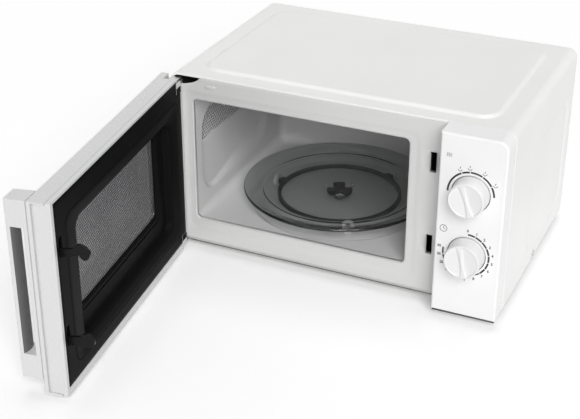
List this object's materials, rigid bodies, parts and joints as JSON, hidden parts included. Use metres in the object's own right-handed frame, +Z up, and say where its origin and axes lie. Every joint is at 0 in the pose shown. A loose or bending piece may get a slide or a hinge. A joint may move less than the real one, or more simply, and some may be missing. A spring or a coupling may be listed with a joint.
{
  "type": "microwave oven",
  "caption": "Countertop microwave oven: sheet cabinet, side-hinged door with a sprung latch, glass turntable on rollers, rotary power and timer knobs.",
  "frame": {"origin": "on the worktop plane, under the middle of the cabinet without its door and control panel", "axes": "+X to the right seen from the front, +Y to the back, +Z up; door drawn open 83 degrees"},
  "size_m": [0.4515, 0.6565, 0.246],
  "materials": {
    "casing_white": "semi-gloss enamel",
    "cavity_grey": "satin enamel",
    "panel_white": "gloss moulding",
    "knob_white": "satin moulding",
    "door_white": "gloss moulding",
    "door_black": "gloss moulding",
    "latch_black": "satin moulding",
    "grip_grey": "satin moulding",
    "screen_black": "matt black",
    "smoked_glass": "smoked",
    "plate_glass": "clear",
    "lamp_glass": "clear",
    "roller_grey": "moulded",
    "zinc_steel": "zinc plated",
    "core_steel": "varnished laminations",
    "copper_winding": "varnished wire",
    "aluminium_can": "drawn can",
    "mica_tan": "mica sheet",
    "switch_grey": "moulded",
    "board_green": "circuit board",
    "foot_rubber": "matt"
  },
  "bodies": {
    "oven": {"outer_casing": "casing_white", "base_plate": "zinc_steel", "rear_panel": "casing_white", "cord_gland": "switch_grey", "front_frame": "casing_white", "oven_cavity": "cavity_grey", "air_grille": "cavity_grey", "waveguide": "zinc_steel", "waveguide_cover": "mica_tan", "magnetron": "zinc_steel", "thermal_cutout": "switch_grey", "transformer_core": "core_steel", "transformer_coils": "copper_winding", "high_voltage_capacitor": "aluminium_can", "capacitor_clamp": "zinc_steel", "high_voltage_diode": "switch_grey", "line_filter_board": "board_green", "fan_shroud": "switch_grey", "fan_motor": "core_steel", "lamp_socket": "switch_grey", "cavity_lamp": "lamp_glass", "turntable_motor": "zinc_steel", "control_panel": "panel_white", "power_selector": "switch_grey", "timer_unit": "switch_grey", "interlock_bracket": "switch_grey", "upper_switch": "switch_grey", "lower_switch": "switch_grey", "monitor_switch": "switch_grey", "upper_hinge_bracket": "zinc_steel", "lower_hinge_bracket": "zinc_steel", "hinge_pins": "zinc_steel", "feet": "foot_rubber", "casing_screws": "zinc_steel"},
    "door": {"door_frame": "door_white", "door_front_panel": "door_white", "door_window": "smoked_glass", "choke_frame": "zinc_steel", "perforated_screen": "screen_black", "choke_cover": "door_black", "door_handle": "door_white", "handle_grip_liner": "grip_grey", "latch_spring": "zinc_steel"},
    "latch": {"latch_lever": "latch_black"},
    "coupler": {"turntable_coupler": "roller_grey", "turntable_spindle": "zinc_steel"},
    "glass_plate": {"glass_plate": "plate_glass"},
    "roller_ring": {"roller_ring": "roller_grey"},
    "roller_1": {"roller_1": "roller_grey"},
    "roller_2": {"roller_2": "roller_grey"},
    "roller_3": {"roller_3": "roller_grey"},
    "fan": {"fan_blade": "roller_grey"},
    "power_knob": {"power_knob": "knob_white", "power_shaft": "zinc_steel"},
    "timer_knob": {"timer_knob": "knob_white", "timer_shaft": "zinc_steel"},
    "upper_plunger": {"upper_plunger": "latch_black"},
    "lower_plunger": {"lower_plunger": "latch_black"},
    "monitor_plunger": {"monitor_plunger": "latch_black"}
  },
  "joints": [
    {"name": "door_hinge", "type": "hinge", "parent": "oven", "child": "door", "pos_m": [-0.21, -0.1545, 0.12], "axis": [0, 0, -1], "range_deg": [-83, 15]},
    {"name": "latch_slide", "type": "slide", "parent": "door", "child": "latch", "axis": [0, 0, 1], "range_m": [0, 0.005], "stiffness_N_per_m": 400, "springref_m": -0.01, "deforming": ["latch_spring"]},
    {"name": "turntable_spin", "type": "hinge", "parent": "oven", "child": "coupler", "pos_m": [-0.0443, -0.011, 0.0476], "axis": [0, 0, 1], "continuous": true},
    {"name": "plate_lift", "type": "slide", "parent": "coupler", "child": "glass_plate", "axis": [0, 0, 1], "range_m": [0, 0.03]},
    {"name": "roller_ring_spin", "type": "hinge", "parent": "oven", "child": "roller_ring", "pos_m": [-0.0443, -0.011, 0.0476], "axis": [0, 0, 1], "continuous": true},
    {"name": "roller_1_spin", "type": "hinge", "parent": "roller_ring", "child": "roller_1", "pos_m": [0.00308, 0.06786, 0.0476], "axis": [0.515, 0.8572, 0], "continuous": true},
    {"name": "roller_2_spin", "type": "hinge", "parent": "roller_ring", "child": "roller_2", "pos_m": [-0.13629, -0.00939, 0.0476], "axis": [-0.9998, 0.0175, 0], "continuous": true},
    {"name": "roller_3_spin", "type": "hinge", "parent": "roller_ring", "child": "roller_3", "pos_m": [0.0003, -0.09147, 0.0476], "axis": [0.4848, -0.8746, 0], "continuous": true},
    {"name": "fan_spin", "type": "hinge", "parent": "oven", "child": "fan", "pos_m": [0.1571, 0.12, 0.168], "axis": [0, 1, 0], "continuous": true},
    {"name": "power_turn", "type": "hinge", "parent": "oven", "child": "power_knob", "pos_m": [0.1795, -0.18, 0.1725], "axis": [0, 1, 0], "range_deg": [-74, 106]},
    {"name": "timer_turn", "type": "hinge", "parent": "oven", "child": "timer_knob", "pos_m": [0.1795, -0.18, 0.094], "axis": [0, 1, 0], "range_deg": [0, 288]},
    {"name": "upper_plunger_slide", "type": "slide", "parent": "oven", "child": "upper_plunger", "axis": [0, 1, 0], "range_m": [0, 0.0012], "stiffness_N_per_m": 300, "springref_m": -0.001},
    {"name": "lower_plunger_slide", "type": "slide", "parent": "oven", "child": "lower_plunger", "axis": [0, 1, 0], "range_m": [0, 0.0012], "stiffness_N_per_m": 300, "springref_m": -0.001},
    {"name": "monitor_plunger_slide", "type": "slide", "parent": "oven", "child": "monitor_plunger", "axis": [0, 1, 0], "range_m": [0, 0.0012], "stiffness_N_per_m": 300, "springref_m": -0.001}
  ],
  "couplings": [
    {"joint": "roller_ring_spin", "follows": "turntable_spin", "ratio": 0.5},
    {"joint": "roller_1_spin", "follows": "turntable_spin", "ratio": -5.75},
    {"joint": "roller_2_spin", "follows": "turntable_spin", "ratio": -5.75},
    {"joint": "roller_3_spin", "follows": "turntable_spin", "ratio": -5.75}
  ]
}
